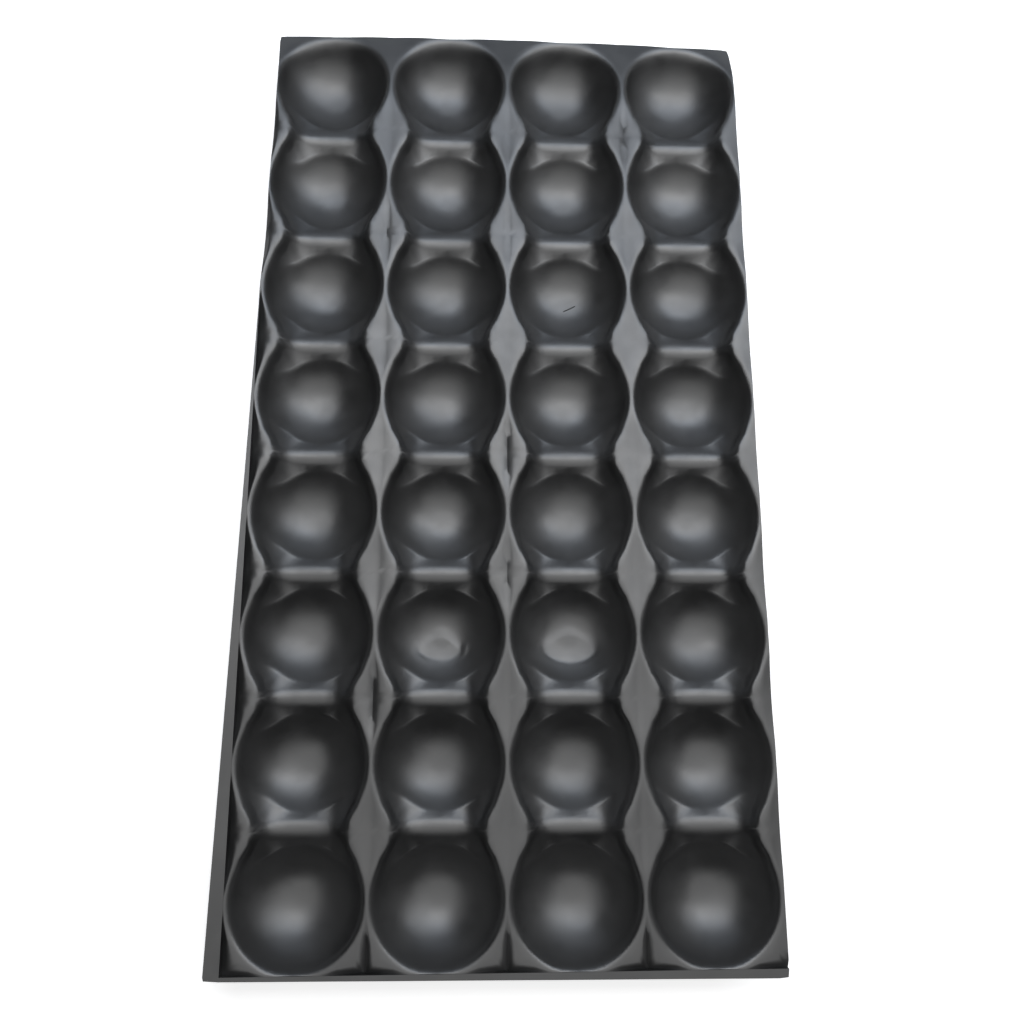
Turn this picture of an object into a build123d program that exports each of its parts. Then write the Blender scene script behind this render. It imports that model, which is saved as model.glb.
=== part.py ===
from build123d import *
import math
import os

# Produce tray: one formed plastic sheet with columns of round bowls, in millimetres
# It stands on the flat feet of its bowls, and the bowls open upwards at the rim plane

# Bowls
columns = 4
rows = 8
bowl_width = 67.2  # inside, at the rim plane
bowl_depth = 26.5  # inside, from the rim plane down to the foot
foot_width = 12.0  # flat spot inside the bottom of each bowl
sheet = 0.7  # thickness of the formed sheet

# Webs that part the bowls
neck_width = 4.8  # between two columns, where the bowls come closest
row_gap = 0.8  # between two bowls of a column, at the rim plane

# Saddles, over which the bowls of a column run into each other
saddle_width = 50.0  # at the rim plane
saddle_floor = 24.0  # level part of the saddle, across the column
saddle_depth = 12.5  # below the rim plane

# Roundings of the upper face
rim_round = 2.8  # along the rims
saddle_round = 8.0  # where the bowls meet the saddles
corner_round = 4.0  # of the trimmed corners
neck_share = 0.96  # of a neck that the two rim roundings on it may take up

# Pockets pressed into the webs, each with a crease along its middle
pocket_length = 48.0
pocket_width = 14.0
pocket_depth = 2.2
edge_pocket_depth = 4.5  # along the flange on the left and the near side

# Sheet left past the rims of the outer bowls by the trimming cut, which isn't quite square
left_far_margin = 1.6
left_near_margin = 10.6
right_far_margin = 1.3
right_near_margin = 3.0
far_margin = 1.6
near_left_margin = 2.6
near_right_margin = 5.0
near_flange_margin = 0.8  # from the rims of the near row to the flange along the near side

overrun = 4.0  # by which cutting shapes stand clear of what they cut
touch = 0.01  # reach of a selection around a level

# Grid
column_pitch = bowl_width + neck_width
row_pitch = bowl_width + row_gap
column_length = (rows - 1) * row_pitch
side_rim = ((columns - 1) * column_pitch + bowl_width) / 2
end_rim = (column_length + bowl_width) / 2
side_line = columns * column_pitch / 2
end_line = rows * row_pitch / 2
blank_width = 2 * (side_line + left_near_margin + overrun)
blank_length = 2 * (end_line + near_right_margin + overrun)
blank_depth = bowl_depth + sheet + overrun

# Bowl's sphere, through the rim and the edge of the foot
bowl_centre = ((bowl_width**2 - foot_width**2) / 4 - bowl_depth**2) / (2 * bowl_depth)
bowl_radius = math.hypot(bowl_width / 2, bowl_centre)

# Saddle's sides, which rise from the level floor to the rim plane
side_reach = (saddle_width - saddle_floor) / 2
side_radius = (side_reach**2 + saddle_depth**2) / (2 * saddle_depth)
side_centre = side_radius - saddle_depth

# Roundings, held within the neck and within the saddle's crest
rim_slope = math.asin(bowl_width / 2 / bowl_radius)
rim_fillet = min(rim_round, neck_share * neck_width / 2 / math.tan(rim_slope / 2))
crest_reach = math.sqrt(bowl_radius**2 - (bowl_centre + saddle_depth) ** 2)
crest_slope = math.asin(crest_reach / bowl_radius)
saddle_fillet = min(saddle_round, (row_pitch / 2 - crest_reach) / math.tan(crest_slope / 2))


def make_bowl(inset):
    """The hollow of one bowl, with its walls moved outwards by an inset."""
    radius = bowl_radius + inset
    floor = -bowl_depth - inset
    foot_reach = math.sqrt(radius**2 - (bowl_centre - floor) ** 2)
    mouth_reach = math.sqrt(radius**2 - (bowl_centre - overrun) ** 2)
    with BuildPart() as bowl:
        with BuildSketch(Plane.XZ):
            with BuildLine():
                foot = Line((0, floor), (foot_reach, floor))
                wall = RadiusArc(foot @ 1, (mouth_reach, overrun), -radius)
                Polyline(wall @ 1, (0, overrun), foot @ 0)
            make_face()
        revolve(axis=Axis.Z)
    return bowl.part


def make_run(inset):
    """The hollow that joins the bowls of one column, from the first bowl's middle to the last one's."""
    radius = side_radius + inset
    wall = saddle_floor / 2 + radius
    with BuildPart() as run:
        with BuildSketch(Plane.XZ.offset(-column_length / 2)):
            with BuildLine():
                right = CenterArc((saddle_floor / 2, side_centre), radius, -90, 90)
                left = CenterArc((-saddle_floor / 2, side_centre), radius, 180, 90)
                Line(left @ 1, right @ 0)
                Polyline(right @ 1, (wall, overrun), (-wall, overrun), left @ 0)
            make_face()
        extrude(amount=column_length)
    return run.part


def make_pocket(depth, inset):
    """The hollow of a pocket along Y: the lowest slice of a wheel with a sharp edge."""
    slope = math.atan2(depth, pocket_width / 2)
    axle = ((pocket_length / 2) ** 2 - depth**2) / (2 * depth)
    crease = -depth - inset / math.cos(slope)
    brim = 2 * overrun
    reach = (brim - crease) / math.tan(slope)
    with BuildPart() as pocket:
        with BuildSketch(Plane.XZ):
            with BuildLine():
                Polyline((-reach, brim), (0, crease), (reach, brim), close=True)
            make_face()
        revolve(axis=Axis((0, 0, axle), (1, 0, 0)))
        split(bisect_by=Plane.XY.offset(overrun), keep=Keep.BOTTOM)
    return pocket.part


def make_edge_pocket(inset):
    """The hollow of a pocket along Y that ends at an upright wall on its left, under the flange."""
    whole = make_pocket(edge_pocket_depth, inset)
    with BuildPart() as pocket:
        add(whole)
        split(bisect_by=Plane.YZ.offset(-inset), keep=Keep.TOP)
    return pocket.part


def make_form(inset):
    """All that lies below the tray's upper face, or below the face one inset under it."""
    run = make_run(inset)
    bowl = make_bowl(inset)
    pocket = make_pocket(pocket_depth, inset)
    edge_pocket = make_edge_pocket(inset)
    with BuildPart() as form:
        with BuildSketch(Plane.XY.offset(-inset)):
            Rectangle(blank_width, blank_length)
        extrude(amount=inset - blank_depth)
        with GridLocations(column_pitch, row_pitch, columns, 1):
            add(run, mode=Mode.SUBTRACT)
        with GridLocations(column_pitch, row_pitch, columns, rows):
            add(bowl, mode=Mode.SUBTRACT)

        crests = form.edges(Select.LAST).filter_by(GeomType.LINE, reverse=True)
        crests = crests.filter_by_position(Axis.Z, -saddle_depth - inset - touch, -inset - touch)
        fillet(crests, saddle_fillet - inset)
        web = form.faces().sort_by(Axis.Z)[-1]
        fillet(web.inner_wires().edges(), rim_fillet - inset)

        with Locations((column_pitch / 2, 0)):
            with GridLocations(column_pitch, row_pitch, columns, rows + 1):
                add(pocket, mode=Mode.SUBTRACT)
        with Locations((-side_line, 0)):
            with GridLocations(column_pitch, row_pitch, 1, rows + 1):
                add(edge_pocket, mode=Mode.SUBTRACT)
        with Locations(Location((0, -end_rim - near_flange_margin), (0, 0, 90))):
            with GridLocations(row_pitch, column_pitch, 1, columns + 1):
                add(edge_pocket, mode=Mode.SUBTRACT)

        with BuildSketch(Plane.XY.offset(-blank_depth)) as trim:
            with BuildLine():
                near_left = (-side_rim - left_near_margin, -end_rim - near_left_margin)
                near_right = (side_rim + right_near_margin, -end_rim - near_right_margin)
                far_right = (side_rim + right_far_margin, end_rim + far_margin)
                far_left = (-side_rim - left_far_margin, end_rim + far_margin)
                Polyline(near_left, near_right, far_right, far_left, close=True)
            make_face()
            fillet(trim.vertices(), corner_round)
        extrude(amount=blank_depth + overrun, mode=Mode.INTERSECT)
    return form.part


upper = make_form(0)
lower = make_form(sheet)

# Middle of the grid, from the middle of the trimmed sheet
grid_x = (left_near_margin - right_near_margin) / 2
grid_y = (near_right_margin - far_margin) / 2
rim_height = bowl_depth + sheet

with BuildPart() as tray:
    with Locations((grid_x, grid_y, rim_height)):
        add(upper)
        add(lower, mode=Mode.SUBTRACT)

tray.part.label = "tray"
os.makedirs("parts", exist_ok=True)
export_step(tray.part, "parts/tray.step")
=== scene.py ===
"""Produce tray: a black formed plastic sheet with bowls in columns, lying on a pale floor."""

import math
from types import SimpleNamespace

import bpy
from bpy.props import FloatProperty, FloatVectorProperty, IntProperty, PointerProperty
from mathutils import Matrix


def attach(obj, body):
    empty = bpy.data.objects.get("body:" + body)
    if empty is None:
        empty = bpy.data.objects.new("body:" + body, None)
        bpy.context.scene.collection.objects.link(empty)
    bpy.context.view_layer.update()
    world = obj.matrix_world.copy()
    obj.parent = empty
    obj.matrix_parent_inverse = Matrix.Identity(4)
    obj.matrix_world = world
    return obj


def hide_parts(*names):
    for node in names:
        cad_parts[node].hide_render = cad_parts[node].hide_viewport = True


bl_info = {
    "name": "Produce Tray",
    "version": (1, 0, 0),
    "blender": (4, 5, 0),
    "location": "View3D > Sidebar > Tray",
    "description": "Builds a formed plastic produce tray and a plain stage for it",
    "category": "Add Mesh",
}

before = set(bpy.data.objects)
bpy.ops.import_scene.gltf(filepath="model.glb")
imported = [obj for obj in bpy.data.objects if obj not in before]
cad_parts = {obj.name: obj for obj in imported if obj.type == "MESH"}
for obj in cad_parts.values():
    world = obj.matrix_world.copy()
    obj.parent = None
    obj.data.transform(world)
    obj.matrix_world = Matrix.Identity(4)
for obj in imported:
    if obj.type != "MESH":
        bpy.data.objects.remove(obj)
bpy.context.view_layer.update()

MM = 0.001

# Net of one bowl: rays from its middle to its cell's border, and rings across them
SIDES = 4
RAYS_PER_SIDE = 16
SIDE_NUDGE = 1e-4  # keeps a ray to a corner with the side that starts there
BOWL_RINGS = 8
DENTED_RINGS = 24  # in place of the bowl's rings, where the bowl is dented
EDGE_RINGS = 4
GAP_RINGS = 1
RIM_RINGS = 5
WEB_RINGS = 3
CREASE_RINGS = 1
RING_SPREAD = 1.5  # above 1, the bowl's rings lie closer together towards the rim
RAY_SWAY = 0.05  # by which rays lie closer together where the rim crosses over to the next bowl
RAY_SPREAD = 0.8  # below 1, that place lies nearer to the corners
EDGE_REACH = 1.5 * MM  # to both sides of the edge between a bowl and a saddle, for its rings
EDGE_GAP = 0.6 * MM  # least gap from these rings to the rim's
RIM_INSIDE = 2.6 * MM  # from the rim's line inwards to the first of its rings
RIM_OUTSIDE = 2.4 * MM  # and outwards to the last of them
RIM_SHARE = 0.62  # of the way from the rim's line to the border that its rings may take up
RIM_LIMIT = 0.93  # of the way to the border, where the rim's line lies at most
END_LIMIT = 0.985  # the same at the ends of a column
RIM_LEVEL = -0.5 * MM  # at which the rim's line is found

# Searches in ever smaller steps: along a ray for the rim and the edge, and upwards for the level
RAY_START = 0.75  # of the way to the border
RAY_STEP = 0.25
RAY_STEPS = 10
LEVEL_START = -13.0 * MM
LEVEL_STEP = 16.0 * MM
LEVEL_STEPS = 17

# Borders of the net
WALL_GAP = 0.05 * MM  # plan width of the upright wall beside the flange
FLANGE_STEP = 1.0 * MM  # of the flange before it is moved out to the trimmed edge
STRETCH = 8.0 * MM  # depth of the border that is stretched or drawn in to the trimmed edge
LEAST_FLANGE = 3.0 * WALL_GAP  # plan width kept for the wall and the flange
MERGE = 0.01 * MM
TOUCH = 0.02 * MM
AWAY = 1.0  # stands for a bowl or a pocket that isn't there

# Forms of the sheet
CREST_REACH = 8.0 * MM  # from a saddle's middle, as far as its crest falls
NOSE_REACH = 14.0 * MM  # and as far as it widens
LEFT_FLARE = 0.33  # by which the left edge stands out where the far border drops
FAR_LIP = 0.2  # cosine to the far direction, from which a far rim is softer
POCKET_LEAST = 0.4  # share of the pocket depth that the flattest pocket has
FAR_FADE = 0.8  # by which the pockets at the far edge are flatter
FOOT_FADE = 0.5  # of a bowl's depth, over which the waves fade towards its foot
SHARP_ANGLE = 50.0  # degrees, above which an edge isn't shaded smoothly

# Creases pressed deeper than the others: line between columns, gap between rows, depth
DEEP_WIDTH = 2.4 * MM  # from the middle to the side
DEEP_LENGTH = 40.0 * MM
DEEP_CREASES = (
    (-1, 2, 1.0 * MM),
    (-1, 6, 1.2 * MM),
    (-1, 8, 1.0 * MM),
    (0, 2, 0.8 * MM),
    (0, 4, 1.0 * MM),
    (0, 5, 0.9 * MM),
    (0, 8, 1.1 * MM),
    (1, 1, 1.2 * MM),
    (1, 8, 1.0 * MM),
)

# Dents: place from the middle of the grid, half width, reach to the near side, reach to the
# far side, and level
DENTS = (
    (36.8 * MM, -107.5 * MM, 18.0 * MM, 11.0 * MM, 22.0 * MM, -23.9 * MM),
    (-37.4 * MM, -108.5 * MM, 13.5 * MM, 8.0 * MM, 18.0 * MM, -24.4 * MM),
    (-22.6 * MM, -109.8 * MM, 2.4 * MM, 5.0 * MM, 5.0 * MM, -22.6 * MM),
)
DENT_EDGE = (0.84, 0.1)  # of a dent's reach, where its near and its far edge start to fade
DENT_BLEND = 0.5  # of a dent's reach, over which its near edge turns into its far one
DENT_FLAT = 0.4  # by which a dent is flatter than the bowl

# Scratch in one bowl: its ends in plan, its width and depth, and how dark it is
SCRATCH_FROM = (39.8 * MM, 99.9 * MM)
SCRATCH_TO = (46.7 * MM, 103.3 * MM)
SCRATCH_WIDTH = 0.8 * MM
SCRATCH_DEPTH = 0.25 * MM
SCRATCH_SHADE = 0.75

# Noise in the plastic: scale and detail
SLOW_NOISE = (14.0, 2.0)
CLOUD_NOISE = (60.0, 4.0)
SKIN_NOISE = (1500.0, 2.0)
SLOW_SHARE = 0.6  # of the slow noise in where the plastic is rubbed; the rest is clouds
RUBBED_RANGE = (0.42, 0.66)  # of both together, from not rubbed to rubbed
ROUGH_RANGE = (0.3, 0.7)  # of the clouds, from smoothest to roughest
SKIN_STRENGTH = 0.06
SKIN_DEPTH = 0.1 * MM
COLOUR_A, COLOUR_B, COLOUR_OUT = 6, 7, 2  # sockets of a mix node that hold colours

# Floor
FLOOR_REACH = 3.0  # from the middle to a side
FLOOR_ROUGHNESS = 0.9
FLOOR_GLOW = 0.55  # that the camera and reflections see
WHITE = (1.0, 1.0, 1.0, 1.0)

# Camera, at the height and angle of the photograph: metres, degrees and millimetres
CAMERA_PLACE = (-0.01485, -0.12725, 0.49862)
CAMERA_TURN = (11.3339, -2.5629, -0.0728)
CAMERA_LENS = 30.234
CAMERA_SENSOR = 36.0

# Lamps: name, size, place, turn in degrees, and colour
PLAIN = (1.0, 1.0, 1.0)
COOL = (0.78, 0.87, 1.0)
LAMPS = (
    ("far", (1.7, 0.4), (0.4, 0.7, 0.9), (0, 0, 0), COOL),
    ("middle", (1.7, 0.4), (0.4, 0.3, 0.9), (0, 0, 0), PLAIN),
    ("near", (1.5, 0.85), (0.05, -0.33, 0.9), (0, 0, 0), PLAIN),
    ("side", (0.7, 1.6), (1.3, 0.1, 0.55), (0, 90, 0), PLAIN),
    ("back", (2.0, 0.7), (0.0, 1.7, 0.55), (-90, 0, 0), COOL),
)


def length(name, description, millimetres):
    """A size that a user may change, written in millimetres and kept in metres."""
    return FloatProperty(
        name=name, description=description, default=millimetres * MM, unit="LENGTH", precision=4
    )


def lamp_power(name, where, watts):
    """The power of one lamp, in watts."""
    return FloatProperty(
        name=name, description=f"Power of the lamp {where}", default=watts, unit="POWER"
    )


class TraySizes(bpy.types.PropertyGroup):
    """Sizes of the formed sheet."""

    columns: IntProperty(name="Columns", description="Columns of bowls", default=4, min=1)
    rows: IntProperty(name="Rows", description="Bowls in a column", default=8, min=1)
    column_pitch: length("Column pitch", "From column to column", 72.0)
    row_pitch: length("Row pitch", "From row to row", 68.0)
    bowl_width: length("Bowl width", "Inside a bowl, at the rim plane", 67.2)
    bowl_depth: length("Bowl depth", "From the rim plane down to the foot", 26.5)
    foot_width: length("Foot width", "Flat spot in the bottom of a bowl", 12.0)
    sheet: length("Sheet", "Thickness of the formed sheet", 0.7)
    saddle_width: length("Saddle width", "Across a saddle at the rim plane", 46.4)
    saddle_floor: length("Saddle floor", "Level part of a saddle", 22.0)
    saddle_depth: length("Saddle depth", "From the rim plane to the saddle's crest", 11.5)
    crest_round: length("Crest round", "Rounding of a saddle's crest, along the column", 10.0)
    nose_round: length("Nose round", "Rounding of the web beside a saddle", 23.0)
    crest_soft: length("Crest softness", "Reach of the rounding between a bowl and a crest", 2.4)
    nose_soft: length("Nose softness", "The same at the rim plane", 9.0)
    rim_soft: length("Rim softness", "Reach of the rounding along the rims", 4.9)
    far_soft: length("Far rim softness", "Reach of the rounding along the far rims", 11.0)
    far_border: length("Far border", "From the bend to the far edge", 26.0)
    far_drop: length("Far drop", "Of the far edge in the middle", 6.0)
    corner_drop: length("Corner drop", "Further drop of the far corners", 3.0)
    far_round: length("Far bend", "Reach of the bend's rounding", 8.0)
    corner_round: length("Corner round", "Rounding of the trimmed corners", 1.8)
    pocket_length: length("Pocket length", "Along a pocket in the web", 48.0)
    pocket_width: length("Pocket width", "Across a pocket in the web", 14.0)
    pocket_depth: length("Pocket depth", "Of the deepest pocket between two columns", 1.7)
    side_length: length("Side pocket length", "Along a pocket beside the flange on the left", 58.0)
    side_width: length("Side pocket width", "Twice the width of such a pocket", 9.0)
    side_depth: length("Side pocket depth", "Of such a pocket", 3.4)
    crease_length: length("Crease length", "Along a crease in the near border", 52.0)
    crease_width: length("Crease width", "Across a crease in the near border", 4.6)
    crease_depth: length("Crease depth", "Of a crease in the near border", 2.0)
    groove_length: length("Groove length", "Along a groove beside the near flange", 40.0)
    groove_width: length("Groove width", "From the near flange to the web", 2.6)
    groove_depth: length("Groove depth", "Of a groove beside the near flange", 2.1)
    pocket_round: length("Pocket round", "Softness of a pocket's border", 0.5)
    left_far: length("Left far margin", "From the rim to the edge", -1.2)
    left_near: length("Left near margin", "From the rim to the edge", 10.6)
    right_far: length("Right far margin", "From the rim to the edge", 1.3)
    right_near: length("Right near margin", "From the rim to the edge", 3.0)
    far_margin: length("Far margin", "From the rim to the edge", 1.6)
    near_left: length("Near left margin", "From the rim to the edge", 2.6)
    near_right: length("Near right margin", "From the rim to the edge", 5.0)
    waviness: length("Waviness", "Height of the sheet's slow waves", 0.25)
    wave_length: length("Wave length", "Of the sheet's slow waves", 70.0)


class TrayFinish(bpy.types.PropertyGroup):
    """Colours and gloss of the sheet."""

    dark: FloatVectorProperty(
        name="Plastic", description="Colour of the plastic", subtype="COLOR",
        default=(0.003, 0.0031, 0.0033), min=0, max=1,
    )
    worn: FloatVectorProperty(
        name="Rubbed plastic", description="Colour where it is rubbed", subtype="COLOR",
        default=(0.008, 0.0081, 0.0084), min=0, max=1,
    )
    smooth: FloatProperty(
        name="Smooth", description="Roughness where it is smoothest", subtype="FACTOR",
        default=0.39, min=0, max=1,
    )
    rough: FloatProperty(
        name="Rough", description="Roughness where it is roughest", subtype="FACTOR",
        default=0.48, min=0, max=1,
    )
    gloss: FloatProperty(
        name="Gloss", description="Strength of the reflections", subtype="FACTOR",
        default=0.85, min=0, max=1,
    )
    refraction: FloatProperty(
        name="Refraction", description="Refraction of the plastic's skin",
        default=1.7, min=1, max=3,
    )


class TrayStage(bpy.types.PropertyGroup):
    """Floor and light."""

    floor_colour: FloatVectorProperty(
        name="Floor", description="Colour of the floor", subtype="COLOR",
        default=(0.9, 0.9, 0.9), min=0, max=1,
    )
    far_power: lamp_power("Far lamp", "over the far end", 7.4)
    middle_power: lamp_power("Middle lamp", "over the middle", 7.4)
    near_power: lamp_power("Near lamp", "over the near end", 4.2)
    side_power: lamp_power("Side lamp", "on the right", 1.4)
    back_power: lamp_power("Back lamp", "behind the far end", 2.4)
    room_light: FloatProperty(
        name="Room light", description="Strength of the light from all sides", default=0.02
    )


class Field:
    """A value in a node tree that is worked with like a number."""

    def __init__(self, tree, socket):
        self.tree = tree
        self.socket = socket

    def __add__(self, other):
        return calc("ADD", self, other)

    __radd__ = __add__

    def __sub__(self, other):
        return calc("SUBTRACT", self, other)

    def __rsub__(self, other):
        return calc("SUBTRACT", other, self)

    def __mul__(self, other):
        return calc("MULTIPLY", self, other)

    __rmul__ = __mul__

    def __truediv__(self, other):
        return calc("DIVIDE", self, other)

    def __rtruediv__(self, other):
        return calc("DIVIDE", other, self)

    def __neg__(self):
        return calc("MULTIPLY", self, -1.0)

    def __pow__(self, other):
        return calc("POWER", self, other)


def join(tree, value, entry):
    """Leads a field to a socket, or sets the socket's own value."""
    if isinstance(value, Field):
        tree.links.new(value.socket, entry)
    else:
        entry.default_value = value


def add(tree, kind, settings=None, **values):
    """A new node with its settings, and with values on the sockets of those names."""
    node = tree.nodes.new(kind)
    for key, value in (settings or {}).items():
        setattr(node, key, value)
    for name, value in values.items():
        join(tree, value, node.inputs[name.replace("_", " ")])
    return node


def calc(operation, *values):
    """A math node on fields and numbers."""
    tree = next(value.tree for value in values if isinstance(value, Field))
    node = add(tree, "ShaderNodeMath", {"operation": operation})
    for entry, value in zip(node.inputs, values):
        join(tree, value, entry)
    return Field(tree, node.outputs["Value"])


def low(first, second):
    return calc("MINIMUM", first, second)


def high(first, second):
    return calc("MAXIMUM", first, second)


def span(value):
    return calc("ABSOLUTE", value)


def above(first, second):
    return calc("GREATER_THAN", first, second)


def root(value):
    """Square root, and 0 below 0."""
    return calc("SQRT", high(value, 0.0))


def square(value):
    return value * value


def hypot(first, second):
    return root(square(first) + square(second))


def whole(value):
    return calc("FLOOR", value)


def pick(test, yes, no):
    """One of two values, by a test that is 1 or 0."""
    return no + test * (yes - no)


def ease(value, start, end):
    """From 0 at start to 1 at end, without a kink."""
    node = add(value.tree, "ShaderNodeMapRange", {"interpolation_type": "SMOOTHSTEP"})
    for name, entry in (("Value", value), ("From Min", start), ("From Max", end)):
        join(value.tree, entry, node.inputs[name])
    return Field(value.tree, node.outputs["Result"])


def place(tree):
    """Where each point is, as three fields."""
    position = Field(tree, add(tree, "GeometryNodeInputPosition").outputs["Position"])
    node = add(tree, "ShaderNodeSeparateXYZ", Vector=position)
    return [Field(tree, node.outputs[name]) for name in "XYZ"]


def vector(tree, x, y, z):
    node = add(tree, "ShaderNodeCombineXYZ", X=x, Y=y, Z=z)
    return Field(tree, node.outputs["Vector"])


def move(geometry, x, y, z):
    """Puts every point of a geometry at the place that the fields give."""
    tree = geometry.tree
    node = add(tree, "GeometryNodeSetPosition", Geometry=geometry, Position=vector(tree, x, y, z))
    return Field(tree, node.outputs["Geometry"])


def merge(geometry, distance):
    node = add(geometry.tree, "GeometryNodeMergeByDistance", Geometry=geometry, Distance=distance)
    return Field(geometry.tree, node.outputs["Geometry"])


def realize(geometry):
    node = add(geometry.tree, "GeometryNodeRealizeInstances", Geometry=geometry)
    return Field(geometry.tree, node.outputs["Geometry"])


def capture(geometry, value):
    """Works a field out once, on a geometry, and returns both."""
    tree = geometry.tree
    node = tree.nodes.new("GeometryNodeCaptureAttribute")
    node.capture_items.new("FLOAT", "Value")
    join(tree, geometry, node.inputs["Geometry"])
    join(tree, value, node.inputs["Value"])
    return Field(tree, node.outputs["Geometry"]), Field(tree, node.outputs["Value"])


def size_inputs(tree, group):
    """Gives a tree one named input for each size; returns the fields and the identifiers."""
    fields, sockets = SimpleNamespace(), {}
    entries = [p for p in group.bl_rna.properties if p.identifier not in ("rna_type", "name")]
    for entry in entries:
        kind = "NodeSocketInt" if entry.type == "INT" else "NodeSocketFloat"
        sockets[entry.identifier] = tree.interface.new_socket(
            name=entry.name, in_out="INPUT", socket_type=kind
        ).identifier
    source = tree.nodes.new("NodeGroupInput")
    fields.sizes = {entry.name: Field(tree, source.outputs[entry.name]) for entry in entries}
    for entry in entries:
        setattr(fields, entry.identifier, fields.sizes[entry.name])
    return fields, sockets


def derive(s):
    """Sizes that follow from the others."""
    s.side_line = s.columns * s.column_pitch * 0.5
    s.end_line = s.rows * s.row_pitch * 0.5
    s.side_rim = ((s.columns - 1.0) * s.column_pitch + s.bowl_width) * 0.5
    s.column_end = (s.rows - 1.0) * s.row_pitch * 0.5
    s.end_rim = s.column_end + s.bowl_width * 0.5

    # Sphere of a bowl, through the rim and the edge of the foot
    reach = (square(s.bowl_width) - square(s.foot_width)) * 0.25
    s.centre = (reach - square(s.bowl_depth)) / (s.bowl_depth * 2.0)
    s.radius = hypot(s.bowl_width * 0.5, s.centre)

    # Sides of a saddle's run
    side_reach = (s.saddle_width - s.saddle_floor) * 0.5
    s.side_radius = (square(side_reach) + square(s.saddle_depth)) / (s.saddle_depth * 2.0)
    s.side_centre = s.side_radius - s.saddle_depth
    return s


def crest_form(across, from_crest, crest_round, nose_round, floor):
    """How far a saddle has fallen beside its crest, and how far a point is past its level part."""
    fall = square(low(from_crest, CREST_REACH)) / (crest_round * 2.0)
    widening = square(low(from_crest, NOSE_REACH)) / (nose_round * 2.0)
    return fall, high(across - widening - floor * 0.5, 0.0)


def hollow_tree():
    """How far a point is from the hollow of the bowls and saddles, below 0 inside it."""
    tree = bpy.data.node_groups.new("hollow", "GeometryNodeTree")
    names = (
        "Level", "Across", "Own Square", "Next Square", "From Crest", "Fade",
        "Radius", "Centre", "Depth", "Floor", "Side Radius", "Side Centre",
        "Crest Round", "Nose Round", "Crest Softness", "Nose Softness",
    )
    for name in names:
        tree.interface.new_socket(name=name, in_out="INPUT", socket_type="NodeSocketFloat")
    tree.interface.new_socket(name="Distance", in_out="OUTPUT", socket_type="NodeSocketFloat")
    source = tree.nodes.new("NodeGroupInput")
    g = SimpleNamespace()
    for name in names:
        setattr(g, name.lower().replace(" ", "_"), Field(tree, source.outputs[name]))
    rise = square(g.level - g.centre)
    bowl = root(g.own_square + rise) - g.radius
    neighbour = root(g.next_square + rise) - g.radius
    fall, past = crest_form(g.across, g.from_crest, g.crest_round, g.nose_round, g.floor)
    run = hypot(past, low(g.level + fall - g.side_centre, 0.0)) - g.side_radius + g.fade
    height_share = low(high(1.0 + g.level / g.depth, 0.0), 1.0)
    soft = g.crest_softness + (g.nose_softness - g.crest_softness) * height_share
    joined = calc("SMOOTH_MIN", calc("SMOOTH_MIN", bowl, neighbour, soft), run, soft)
    sink = tree.nodes.new("NodeGroupOutput")
    join(tree, joined, sink.inputs["Distance"])
    return tree


def hollow(s, level, across, own, following, from_crest, fade):
    """The distance from the hollow, at a level."""
    node = add(
        across.tree, "GeometryNodeGroup", {"node_tree": s.hollow},
        Level=level, Across=across, Own_Square=own, Next_Square=following,
        From_Crest=from_crest, Fade=fade,
        Radius=s.radius, Centre=s.centre, Depth=s.saddle_depth, Floor=s.saddle_floor,
        Side_Radius=s.side_radius, Side_Centre=s.side_centre, Crest_Round=s.crest_round,
        Nose_Round=s.nose_round, Crest_Softness=s.crest_soft, Nose_Softness=s.nose_soft,
    )
    return Field(across.tree, node.outputs["Distance"])


def saddle_level(s, across, from_crest):
    """Level of a saddle without its roundings."""
    fall, past = crest_form(across, from_crest, s.crest_round, s.nose_round, s.saddle_floor)
    return s.side_centre - root(square(s.side_radius) - square(past)) - fall


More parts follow.
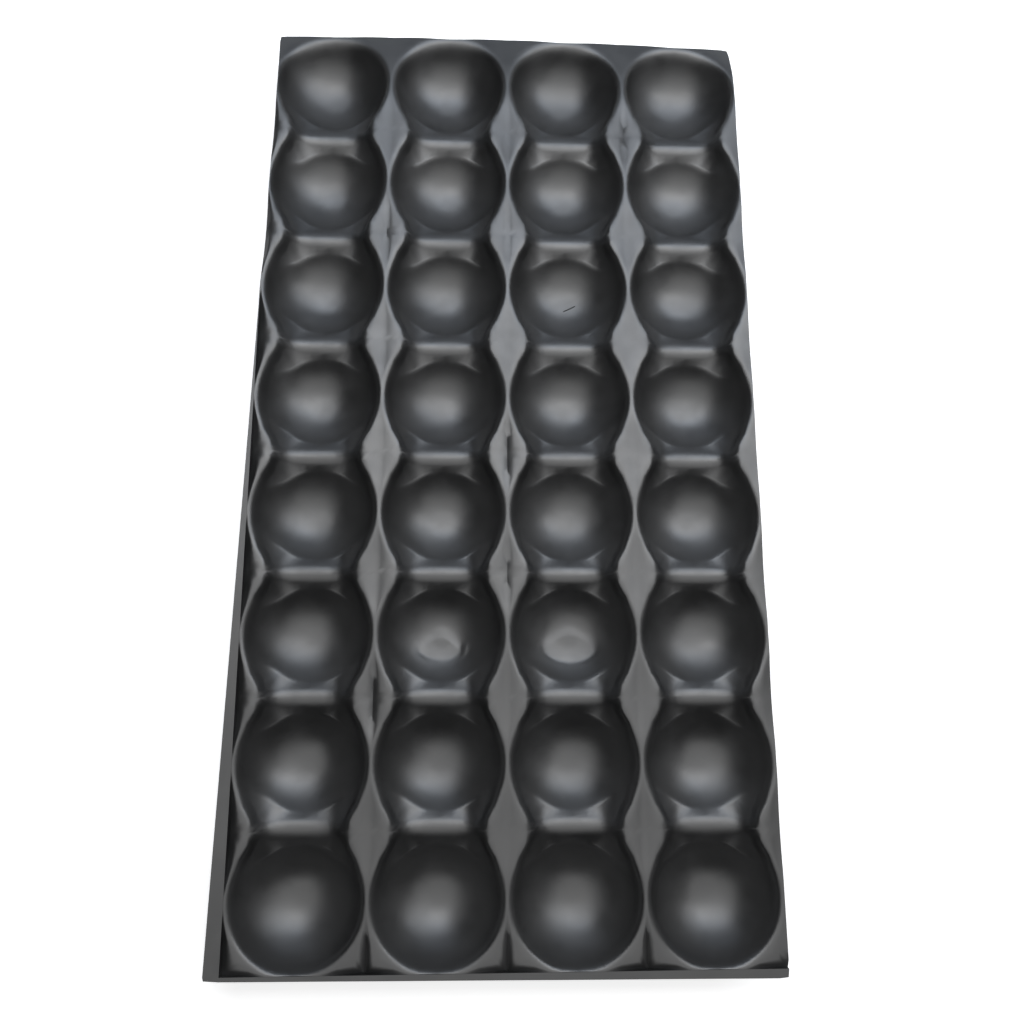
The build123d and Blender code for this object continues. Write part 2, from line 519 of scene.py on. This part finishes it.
def net_tree(group, hollow_group):
    """A flat net around one bowl, with close rings along the rims and the saddles' edges."""
    tree = bpy.data.node_groups.new("bowl_net", "GeometryNodeTree")
    tree.interface.new_socket(name="Net", in_out="OUTPUT", socket_type="NodeSocketGeometry")
    fields, _ = size_inputs(tree, group)
    s = derive(fields)
    s.hollow = hollow_group
    for name in ("Bowl Rings", "Column End"):
        tree.interface.new_socket(name=name, in_out="INPUT", socket_type="NodeSocketFloat")
    source = tree.nodes.new("NodeGroupInput")
    bowl_rings = Field(tree, source.outputs["Bowl Rings"])
    at_end = Field(tree, source.outputs["Column End"])
    bands = (EDGE_RINGS, GAP_RINGS, RIM_RINGS, WEB_RINGS, CREASE_RINGS)
    rings = bowl_rings + float(sum(bands))
    grid = add(
        tree, "GeometryNodeMeshGrid",
        Size_X=1.0, Size_Y=1.0, Vertices_X=SIDES * RAYS_PER_SIDE + 1, Vertices_Y=rings + 1.0,
    )
    x, y, _ = place(tree)
    turn = (0.5 - x) * float(SIDES)
    side = low(whole(turn + SIDE_NUDGE), SIDES - 1.0)
    along = (turn - side) * 2.0 - 1.0
    sway = calc("SINE", span(along) * (2.0 * math.pi)) * RAY_SWAY
    crossing = calc("SIGN", along) * high(span(along) + sway, 0.0) ** RAY_SPREAD
    half_x, half_y = s.column_pitch * 0.5, s.row_pitch * 0.5
    back = above(side, 1.5)
    upright = calc("MODULO", side, 2.0)
    sign = 1.0 - back * 2.0
    border_x = sign * pick(upright, -crossing * half_x, half_x)
    border_y = sign * pick(upright, half_y, along * half_y)
    reach = hypot(border_x, border_y)
    share_x, share_y = span(border_x) / reach, span(border_y) / reach
    closed = above(border_y, 0.0) * at_end

    # Where the rim's line crosses this ray
    line = reach * RAY_START
    for step in range(RAY_STEPS):
        across = line * share_x
        along = line * share_y
        following = square(across) + square(along - s.row_pitch) + closed * AWAY
        distance = hollow(
            s, RIM_LEVEL, across, square(line), following, half_y - along, closed * AWAY
        )
        line = line + reach * (above(0.0, distance) - 0.5) * (RAY_STEP * 0.5**step)
    net = Field(tree, grid.outputs["Mesh"])
    net, line = capture(net, low(line, reach * pick(closed, END_LIMIT, RIM_LIMIT)))

    # Where the bowl's own wall ends at the saddle
    edge = reach * RAY_START
    for step in range(RAY_STEPS):
        floor = saddle_level(s, edge * share_x, half_y - edge * share_y) + closed * AWAY
        wall = s.centre - root(square(s.radius) - square(edge))
        edge = edge + reach * (above(floor, wall) - 0.5) * (RAY_STEP * 0.5**step)
    net, edge = capture(net, low(edge, line - RIM_INSIDE - EDGE_GAP - EDGE_REACH))

    # Rings from the middle to the border, in bands from stop to stop
    rim = line + low((reach - line) * RIM_SHARE, RIM_OUTSIDE)
    crease = high(reach * (1.0 - DEEP_WIDTH / half_x), rim + (reach - rim) * 0.5)
    stops = (edge - EDGE_REACH, edge + EDGE_REACH, line - RIM_INSIDE, rim, crease, reach)
    out = (y + 0.5) * rings
    part = low(out / bowl_rings, 1.0)
    distance = stops[0] * (1.0 - high(1.0 - part, 0.0) ** RING_SPREAD)
    done = bowl_rings
    for start, end, band in zip(stops, stops[1:], bands):
        part = low(high((out - done) / float(band), 0.0), 1.0)
        distance = distance + (end - start) * part
        done = done + float(band)
    net, distance = capture(net, distance)
    net = move(net, border_x * distance / reach, border_y * distance / reach, 0.0)
    sink = tree.nodes.new("NodeGroupOutput")
    join(tree, merge(net, MERGE), sink.inputs["Net"])
    return tree


def cell_net(tree, s, bowl_rings, at_end):
    """The net around one bowl; at the end of a column, no saddle follows on its far side."""
    node = add(
        tree, "GeometryNodeGroup", {"node_tree": s.net}, Bowl_Rings=bowl_rings, Column_End=at_end
    )
    for name, field in s.sizes.items():
        join(tree, field, node.inputs[name])
    return Field(tree, node.outputs["Net"])


def spread(tree, s):
    """The net over all columns and rows, joined at the borders; a dented bowl has a finer one."""
    grid = add(
        tree, "GeometryNodeMeshGrid",
        Size_X=(s.columns - 1.0) * s.column_pitch, Size_Y=(s.rows - 1.0) * s.row_pitch,
        Vertices_X=s.columns, Vertices_Y=s.rows,
    )
    x, y, _ = place(tree)
    dented = 0.0
    for at_x, at_y, *_ in DENTS:
        in_column = above(s.column_pitch * 0.5, span(x - at_x))
        in_row = above(s.row_pitch * 0.5, span(y - at_y))
        dented = high(in_column * in_row, dented)
    both = tree.nodes.new("GeometryNodeJoinGeometry")
    at_end = above(span(y), s.column_end - TOUCH)
    half_turn = vector(tree, 0.0, 0.0, above(0.0, y) * at_end * math.pi)
    for net, test in (
        (cell_net(tree, s, BOWL_RINGS, 0), (1.0 - dented) * (1.0 - at_end)),
        (cell_net(tree, s, BOWL_RINGS, 1), (1.0 - dented) * at_end),
        (cell_net(tree, s, DENTED_RINGS, 0), dented),
    ):
        copies = add(
            tree, "GeometryNodeInstanceOnPoints",
            Points=Field(tree, grid.outputs["Mesh"]), Selection=test, Instance=net,
        )
        turned = add(tree, "FunctionNodeEulerToRotation", Euler=half_turn)
        tree.links.new(turned.outputs["Rotation"], copies.inputs["Rotation"])
        tree.links.new(copies.outputs["Instances"], both.inputs["Geometry"])
    return merge(realize(Field(tree, both.outputs["Geometry"])), MERGE)


def draw_out(tree, mesh, test, x, y):
    """Extends a mesh from the border edges that pass a test; returns it and the new edges."""
    node = add(
        tree, "GeometryNodeExtrudeMesh", {"mode": "EDGES"},
        Mesh=mesh, Selection=test, Offset=vector(tree, x, y, 0.0), Offset_Scale=1.0,
    )
    return Field(tree, node.outputs["Mesh"]), Field(tree, node.outputs["Top"])


def add_flange(tree, s, mesh):
    """The upright wall and the flat flange along the left side, and then along the near side."""
    border = Field(tree, add(tree, "GeometryNodeInputMeshEdgeNeighbors").outputs["Face Count"])
    single = above(1.5, border)
    x, y, _ = place(tree)
    mesh, edges = draw_out(tree, mesh, single * above(TOUCH - s.side_line, x), -WALL_GAP, 0.0)
    mesh, edges = draw_out(tree, mesh, edges, -FLANGE_STEP, 0.0)
    mesh, edges = draw_out(tree, mesh, single * above(TOUCH - s.end_line, y), 0.0, -WALL_GAP)
    mesh, _ = draw_out(tree, mesh, edges, 0.0, -FLANGE_STEP)
    return mesh


def trim(tree, s, mesh):
    """Moves the borders of the flat net to the trimmed edge, and rounds its corners."""
    x, y, _ = place(tree)
    near_y = -(s.end_rim + s.near_right)
    far_y = s.end_rim + s.far_margin
    up = (y - near_y) / (far_y - near_y)
    flare = web_level(s, -s.side_rim, y) * LEFT_FLARE
    left = -s.side_rim - pick(up, s.left_far, s.left_near) + flare
    right = s.side_rim + pick(up, s.right_far, s.right_near)
    over = (x + s.side_rim) / (s.side_rim * 2.0)
    near = -s.end_rim - pick(over, s.near_right, s.near_left)

    # Right and far borders of the cells
    rest = s.side_line - STRETCH
    new_x = x + high(x - rest, 0.0) * ((right - rest) / STRETCH - 1.0)
    rest = s.end_line - STRETCH
    new_y = y + high(y - rest, 0.0) * ((far_y - rest) / STRETCH - 1.0)

    # Left border of the cells, drawn in where the edge cuts into them, and the flange beside it
    cut = high(left + s.side_line + LEAST_FLANGE, 0.0)
    new_x = new_x + cut * high(STRETCH - s.side_line - x, 0.0) / STRETCH
    on_flange = above(-s.side_line - WALL_GAP - FLANGE_STEP * 0.5, x)
    new_x = pick(on_flange, left, new_x)
    on_flange = above(-s.end_line - WALL_GAP - FLANGE_STEP * 0.5, y)
    new_y = pick(on_flange, near, new_y)

    # Corners
    on_right, on_far = above(new_x, 0.0), above(new_y, 0.0)
    side = pick(on_right, right, -left) - s.corner_round
    end = pick(on_far, far_y, -near) - s.corner_round
    past_side = high(span(new_x) - side, 0.0)
    past_end = high(span(new_y) - end, 0.0)
    both = above(past_side, 0.0) * above(past_end, 0.0)
    draw = high(past_side, past_end) / high(hypot(past_side, past_end), MERGE)
    in_x = past_side * (1.0 - draw) * both * (on_right * 2.0 - 1.0)
    in_y = past_end * (1.0 - draw) * both * (on_far * 2.0 - 1.0)
    return move(mesh, new_x - in_x, new_y - in_y, 0.0)


def web_level(s, x, y):
    """Level of the web: the rim plane, and the far border that is bent down."""
    far_y = s.end_rim + s.far_margin
    drop = s.far_drop + s.corner_drop * square(x / s.side_rim)
    past = y - far_y + s.far_border
    return calc("SMOOTH_MIN", -(past * drop / s.far_border), 0.0, s.far_round)


def bowl_level(s, x, y, web):
    """Level of the bowls, the saddles and the web with every rounding, found step by step."""
    column = low(high(whole((x + s.side_line) / s.column_pitch), 0.0), s.columns - 1.0)
    row = low(high(whole((y + s.end_line) / s.row_pitch), 0.0), s.rows - 1.0)
    across = span(x + s.side_line - (column + 0.5) * s.column_pitch)
    along = span(y + s.end_line - (row + 0.5) * s.row_pitch)
    past_end = span(y) - s.column_end
    own = square(across) + square(along)
    following = square(across) + square(along - s.row_pitch) + AWAY * above(past_end, 0.0)
    fade = high(past_end, 0.0)
    towards_far = (y - s.column_end) / high(root(own), TOUCH)
    soft = s.rim_soft + (s.far_soft - s.rim_soft) * ease(towards_far, FAR_LIP, 1.0)

    level = LEVEL_START
    for step in range(LEVEL_STEPS):
        distance = hollow(s, level, across, own, following, s.row_pitch * 0.5 - along, fade)
        air = above(calc("SMOOTH_MAX", level - web, -distance, soft), 0.0)
        level = level + (0.5 - air) * (LEVEL_STEP * 0.5**step)
    return calc("SMOOTH_MAX", level, -s.bowl_depth, s.pocket_round)


def pocket_level(side, along, pocket_length, half_width, depth):
    """Level of a pocket with a crease along its middle."""
    slope = depth / half_width
    axle = (square(pocket_length * 0.5) - square(depth)) / (depth * 2.0)
    return axle - root(square(high(axle + depth - slope * span(side), 0.0)) - square(along))


def form(tree, s, mesh):
    """Presses the flat net into its shape and puts it in its place."""
    x, y, _ = place(tree)
    web = web_level(s, x, y)
    height = bowl_level(s, x, y, web)

    # Pockets between the columns, deeper ones beside the flange, and creases in the near border
    line = whole(x / s.column_pitch + 0.5)
    gap = whole((y + s.end_line) / s.row_pitch + 0.5)
    from_line = x - line * s.column_pitch
    from_gap = y + s.end_line - gap * s.row_pitch
    on_left = above(0.5 - s.columns * 0.5, line)
    on_right = above(line, s.columns * 0.5 - 0.5)
    on_near = above(0.5, gap) * (1.0 - on_left)
    on_far = above(gap, s.rows - 0.5)
    chance = add(
        tree, "ShaderNodeTexWhiteNoise", {"noise_dimensions": "2D"},
        Vector=vector(tree, line, gap, 0.0),
    )
    share = POCKET_LEAST + (1.0 - POCKET_LEAST) * Field(tree, chance.outputs["Value"])
    strength = share * (1.0 - FAR_FADE * on_far)
    depth = pick(on_near, s.crease_depth, pick(on_left, s.side_depth, s.pocket_depth * strength))
    half_width = pick(on_near, s.crease_width, pick(on_left, s.side_width, s.pocket_width)) * 0.5
    pocket_length = pick(on_near, s.crease_length, pick(on_left, s.side_length, s.pocket_length))
    missing = on_left * on_far + on_right * on_near
    pocket = pocket_level(from_line, from_gap, pocket_length, half_width, depth) + missing * AWAY
    for at_line, at_gap, deep in DEEP_CREASES:
        on_line = above(0.5, span(line - float(at_line)))
        in_gap = above(0.5, span(s.rows - gap - float(at_gap)))
        narrow = high(1.0 - span(from_line) / DEEP_WIDTH, 0.0)
        short = high(1.0 - square(from_gap * 2.0 / DEEP_LENGTH), 0.0)
        pocket = pocket - on_line * in_gap * narrow * short * deep
    height = calc("SMOOTH_MIN", height, pocket + web, s.pocket_round)
    groove = pocket_level(
        y + s.end_line, from_line, s.groove_length, s.groove_width, s.groove_depth
    )
    height = calc("SMOOTH_MIN", height, groove, s.pocket_round)

    near_edge, far_edge = DENT_EDGE
    for at_x, at_y, half_x, near, far, level in DENTS:
        beyond = above(y, at_y)
        out = hypot((x - at_x) / half_x, (y - at_y) / pick(beyond, far, near))
        turning = ease(y, at_y - near * DENT_BLEND, at_y + far * DENT_BLEND)
        edge = near_edge + (far_edge - near_edge) * turning
        height = height + (1.0 - ease(out, edge, 1.0)) * DENT_FLAT * (level - height)

    on_flange = high(
        above(-s.side_line - WALL_GAP * 0.5, x), above(-s.end_line - WALL_GAP * 0.5, y)
    )
    height = pick(on_flange, web, height)

    # Slow waves, which leave the feet level
    wave = add(
        tree, "ShaderNodeTexNoise", {"noise_dimensions": "3D"},
        Vector=vector(tree, x / s.wave_length, y / s.wave_length, 0.0), Scale=1.0, Detail=1.0,
    )
    above_feet = ease(height, -s.bowl_depth, s.bowl_depth * (FOOT_FADE - 1.0))
    height = height + (Field(tree, wave.outputs["Fac"]) - 0.5) * 2.0 * s.waviness * above_feet

    middle_x = (s.left_near - s.right_near) * 0.5
    middle_y = (s.near_right - s.far_margin) * 0.5
    return move(mesh, x + middle_x, y + middle_y, height + s.bowl_depth + s.sheet)


def sheet_tree(group, material):
    """The nodes that make the tray's upper face from its sizes."""
    tree = bpy.data.node_groups.new("formed_sheet", "GeometryNodeTree")
    tree.interface.new_socket(name="Geometry", in_out="OUTPUT", socket_type="NodeSocketGeometry")
    fields, sockets = size_inputs(tree, group)
    s = derive(fields)
    s.hollow = hollow_tree()
    s.net = net_tree(group, s.hollow)
    mesh = spread(tree, s)
    mesh = trim(tree, s, add_flange(tree, s, mesh))
    mesh = form(tree, s, mesh)
    smooth = add(tree, "GeometryNodeSetShadeSmooth", Geometry=mesh)
    real = realize(Field(tree, smooth.outputs["Geometry"]))
    dressed = add(tree, "GeometryNodeSetMaterial", Geometry=real, Material=material)
    sink = tree.nodes.new("NodeGroupOutput")
    tree.links.new(dressed.outputs["Geometry"], sink.inputs["Geometry"])
    return tree, sockets


def plain_mesh(piece, name):
    """Turns what a piece's modifiers make into its own mesh, and removes the modifiers."""
    bpy.context.view_layer.update()
    depsgraph = bpy.context.evaluated_depsgraph_get()
    mesh = bpy.data.meshes.new_from_object(piece.evaluated_get(depsgraph), depsgraph=depsgraph)
    mesh.name = name
    piece.modifiers.clear()
    piece.data = mesh
    return mesh


def scratch_mark(tree, spot):
    """1 along the scratch and 0 beside it."""
    parts = add(tree, "ShaderNodeSeparateXYZ", Vector=spot)
    x = Field(tree, parts.outputs["X"]) - SCRATCH_FROM[0]
    y = Field(tree, parts.outputs["Y"]) - SCRATCH_FROM[1]
    run_x, run_y = (end - start for start, end in zip(SCRATCH_FROM, SCRATCH_TO))
    along = low(high((x * run_x + y * run_y) / (run_x**2 + run_y**2), 0.0), 1.0)
    return 1.0 - ease(hypot(x - along * run_x, y - along * run_y), 0.0, SCRATCH_WIDTH * 0.5)


def plastic(finish):
    """Satin black plastic with slow changes of gloss, a fine skin and one scratch."""
    material = bpy.data.materials.new("satin_plastic")
    material.use_nodes = True
    tree = material.node_tree
    shader = tree.nodes["Principled BSDF"]
    shader.inputs["IOR"].default_value = finish.refraction
    spot = Field(tree, add(tree, "ShaderNodeTexCoord").outputs["Object"])

    def noise(scale, detail):
        node = add(
            tree, "ShaderNodeTexNoise", {"noise_dimensions": "3D"},
            Vector=spot, Scale=scale, Detail=detail,
        )
        return Field(tree, node.outputs["Fac"])

    slow = noise(*SLOW_NOISE)
    cloudy = noise(*CLOUD_NOISE)
    rubbed = ease(slow * SLOW_SHARE + cloudy * (1.0 - SLOW_SHARE), *RUBBED_RANGE)
    colour = add(tree, "ShaderNodeMix", {"data_type": "RGBA"})
    join(tree, rubbed, colour.inputs["Factor"])
    colour.inputs[COLOUR_A].default_value = (*finish.dark, 1.0)
    colour.inputs[COLOUR_B].default_value = (*finish.worn, 1.0)
    tree.links.new(colour.outputs[COLOUR_OUT], shader.inputs["Base Color"])
    rough = finish.smooth + (finish.rough - finish.smooth) * ease(cloudy, *ROUGH_RANGE)
    join(tree, rough, shader.inputs["Roughness"])
    mark = scratch_mark(tree, spot)
    join(tree, finish.gloss * (1.0 - mark * SCRATCH_SHADE), shader.inputs["Specular IOR Level"])
    grain = noise(*SKIN_NOISE)
    skin = add(tree, "ShaderNodeBump", Strength=SKIN_STRENGTH, Distance=SKIN_DEPTH, Height=grain)
    cut = add(tree, "ShaderNodeBump", Distance=SCRATCH_DEPTH, Height=1.0 - mark)
    tree.links.new(skin.outputs["Normal"], cut.inputs["Normal"])
    tree.links.new(cut.outputs["Normal"], shader.inputs["Normal"])
    return material


class TRAY_OT_sheet(bpy.types.Operator):
    """Build the formed sheet, with its dents, in place of the plain solid"""

    bl_idname = "produce_tray.sheet"
    bl_label = "Build Sheet"

    def execute(self, context):
        sizes = context.scene.tray_sizes
        material = plastic(context.scene.tray_finish)
        piece = bpy.data.objects.new("tray_sheet", bpy.data.meshes.new("blank"))
        context.scene.collection.objects.link(piece)
        tree, sockets = sheet_tree(sizes, material)
        nodes = piece.modifiers.new("Form", "NODES")
        nodes.node_group = tree
        for key, identifier in sockets.items():
            nodes[identifier] = getattr(sizes, key)
        wall = piece.modifiers.new("Thickness", "SOLIDIFY")
        wall.thickness = sizes.sheet
        wall.offset = -1.0
        mesh = plain_mesh(piece, "tray_sheet")
        mesh.set_sharp_from_angle(angle=math.radians(SHARP_ANGLE))
        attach(piece, "root")
        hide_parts("tray")
        return {"FINISHED"}


class TRAY_OT_stage(bpy.types.Operator):
    """Set up the floor, the lamps and the camera"""

    bl_idname = "produce_tray.stage"
    bl_label = "Set Up Stage"

    def execute(self, context):
        stage = context.scene.tray_stage
        make_floor(context.scene, stage)
        for name, size, at, turn, colour in LAMPS:
            power = getattr(stage, f"{name}_power")
            make_lamp(context.scene, f"{name}_lamp", power, size, at, turn, colour)
        world = bpy.data.worlds.new("room")
        world.use_nodes = True
        background = world.node_tree.nodes["Background"]
        background.inputs["Strength"].default_value = stage.room_light
        background.inputs["Color"].default_value = WHITE
        context.scene.world = world
        data = bpy.data.cameras.new("camera")
        data.lens = CAMERA_LENS
        data.sensor_width = CAMERA_SENSOR
        camera = bpy.data.objects.new("camera", data)
        camera.location = CAMERA_PLACE
        camera.rotation_euler = [math.radians(angle) for angle in CAMERA_TURN]
        context.scene.collection.objects.link(camera)
        context.scene.camera = camera
        context.scene.view_settings.view_transform = "Standard"
        return {"FINISHED"}


def make_floor(scene, stage):
    """A pale floor that shows white to the camera and keeps the tray's shadow."""
    signs = ((-1, -1), (1, -1), (1, 1), (-1, 1))
    corners = [(x * FLOOR_REACH, y * FLOOR_REACH, 0) for x, y in signs]
    mesh = bpy.data.meshes.new("floor")
    mesh.from_pydata(corners, [], [(0, 1, 2, 3)])
    material = bpy.data.materials.new("pale_floor")
    material.use_nodes = True
    tree = material.node_tree
    shader = tree.nodes["Principled BSDF"]
    shader.inputs["Base Color"].default_value = (*stage.floor_colour, 1.0)
    shader.inputs["Roughness"].default_value = FLOOR_ROUGHNESS
    path = add(tree, "ShaderNodeLightPath")
    camera, glossy, through = (
        Field(tree, path.outputs[f"Is {kind} Ray"])
        for kind in ("Camera", "Glossy", "Transmission")
    )
    seen = high(high(camera, glossy), through)
    shader.inputs["Emission Color"].default_value = WHITE
    join(tree, seen * FLOOR_GLOW, shader.inputs["Emission Strength"])
    mesh.materials.append(material)
    floor = bpy.data.objects.new("floor", mesh)
    scene.collection.objects.link(floor)


def make_lamp(scene, name, power, size, at, turn, colour):
    """A wide soft lamp that faces down, or is turned to the tray."""
    data = bpy.data.lights.new(name, "AREA")
    data.energy = power
    data.shape = "RECTANGLE"
    data.size, data.size_y = size
    data.color = colour
    lamp = bpy.data.objects.new(name, data)
    lamp.location = at
    lamp.rotation_euler = [math.radians(angle) for angle in turn]
    scene.collection.objects.link(lamp)


class TRAY_PT_panel(bpy.types.Panel):
    """Lists the sizes, the finish and the steps"""

    bl_label = "Produce Tray"
    bl_idname = "TRAY_PT_panel"
    bl_space_type = "VIEW_3D"
    bl_region_type = "UI"
    bl_category = "Tray"

    def draw(self, context):
        scene = context.scene
        for group in (scene.tray_sizes, scene.tray_finish, scene.tray_stage):
            box = self.layout.box()
            for entry in group.bl_rna.properties:
                if entry.identifier not in ("rna_type", "name"):
                    box.prop(group, entry.identifier)
        self.layout.operator(TRAY_OT_sheet.bl_idname)
        self.layout.operator(TRAY_OT_stage.bl_idname)


CLASSES = (TraySizes, TrayFinish, TrayStage, TRAY_OT_sheet, TRAY_OT_stage, TRAY_PT_panel)


def register():
    for entry in CLASSES:
        bpy.utils.register_class(entry)
    bpy.types.Scene.tray_sizes = PointerProperty(type=TraySizes)
    bpy.types.Scene.tray_finish = PointerProperty(type=TrayFinish)
    bpy.types.Scene.tray_stage = PointerProperty(type=TrayStage)


def unregister():
    del bpy.types.Scene.tray_stage
    del bpy.types.Scene.tray_finish
    del bpy.types.Scene.tray_sizes
    for entry in reversed(CLASSES):
        bpy.utils.unregister_class(entry)


def main():
    register()
    bpy.ops.produce_tray.sheet()
    bpy.ops.produce_tray.stage()


if __name__ == "__main__":
    main()
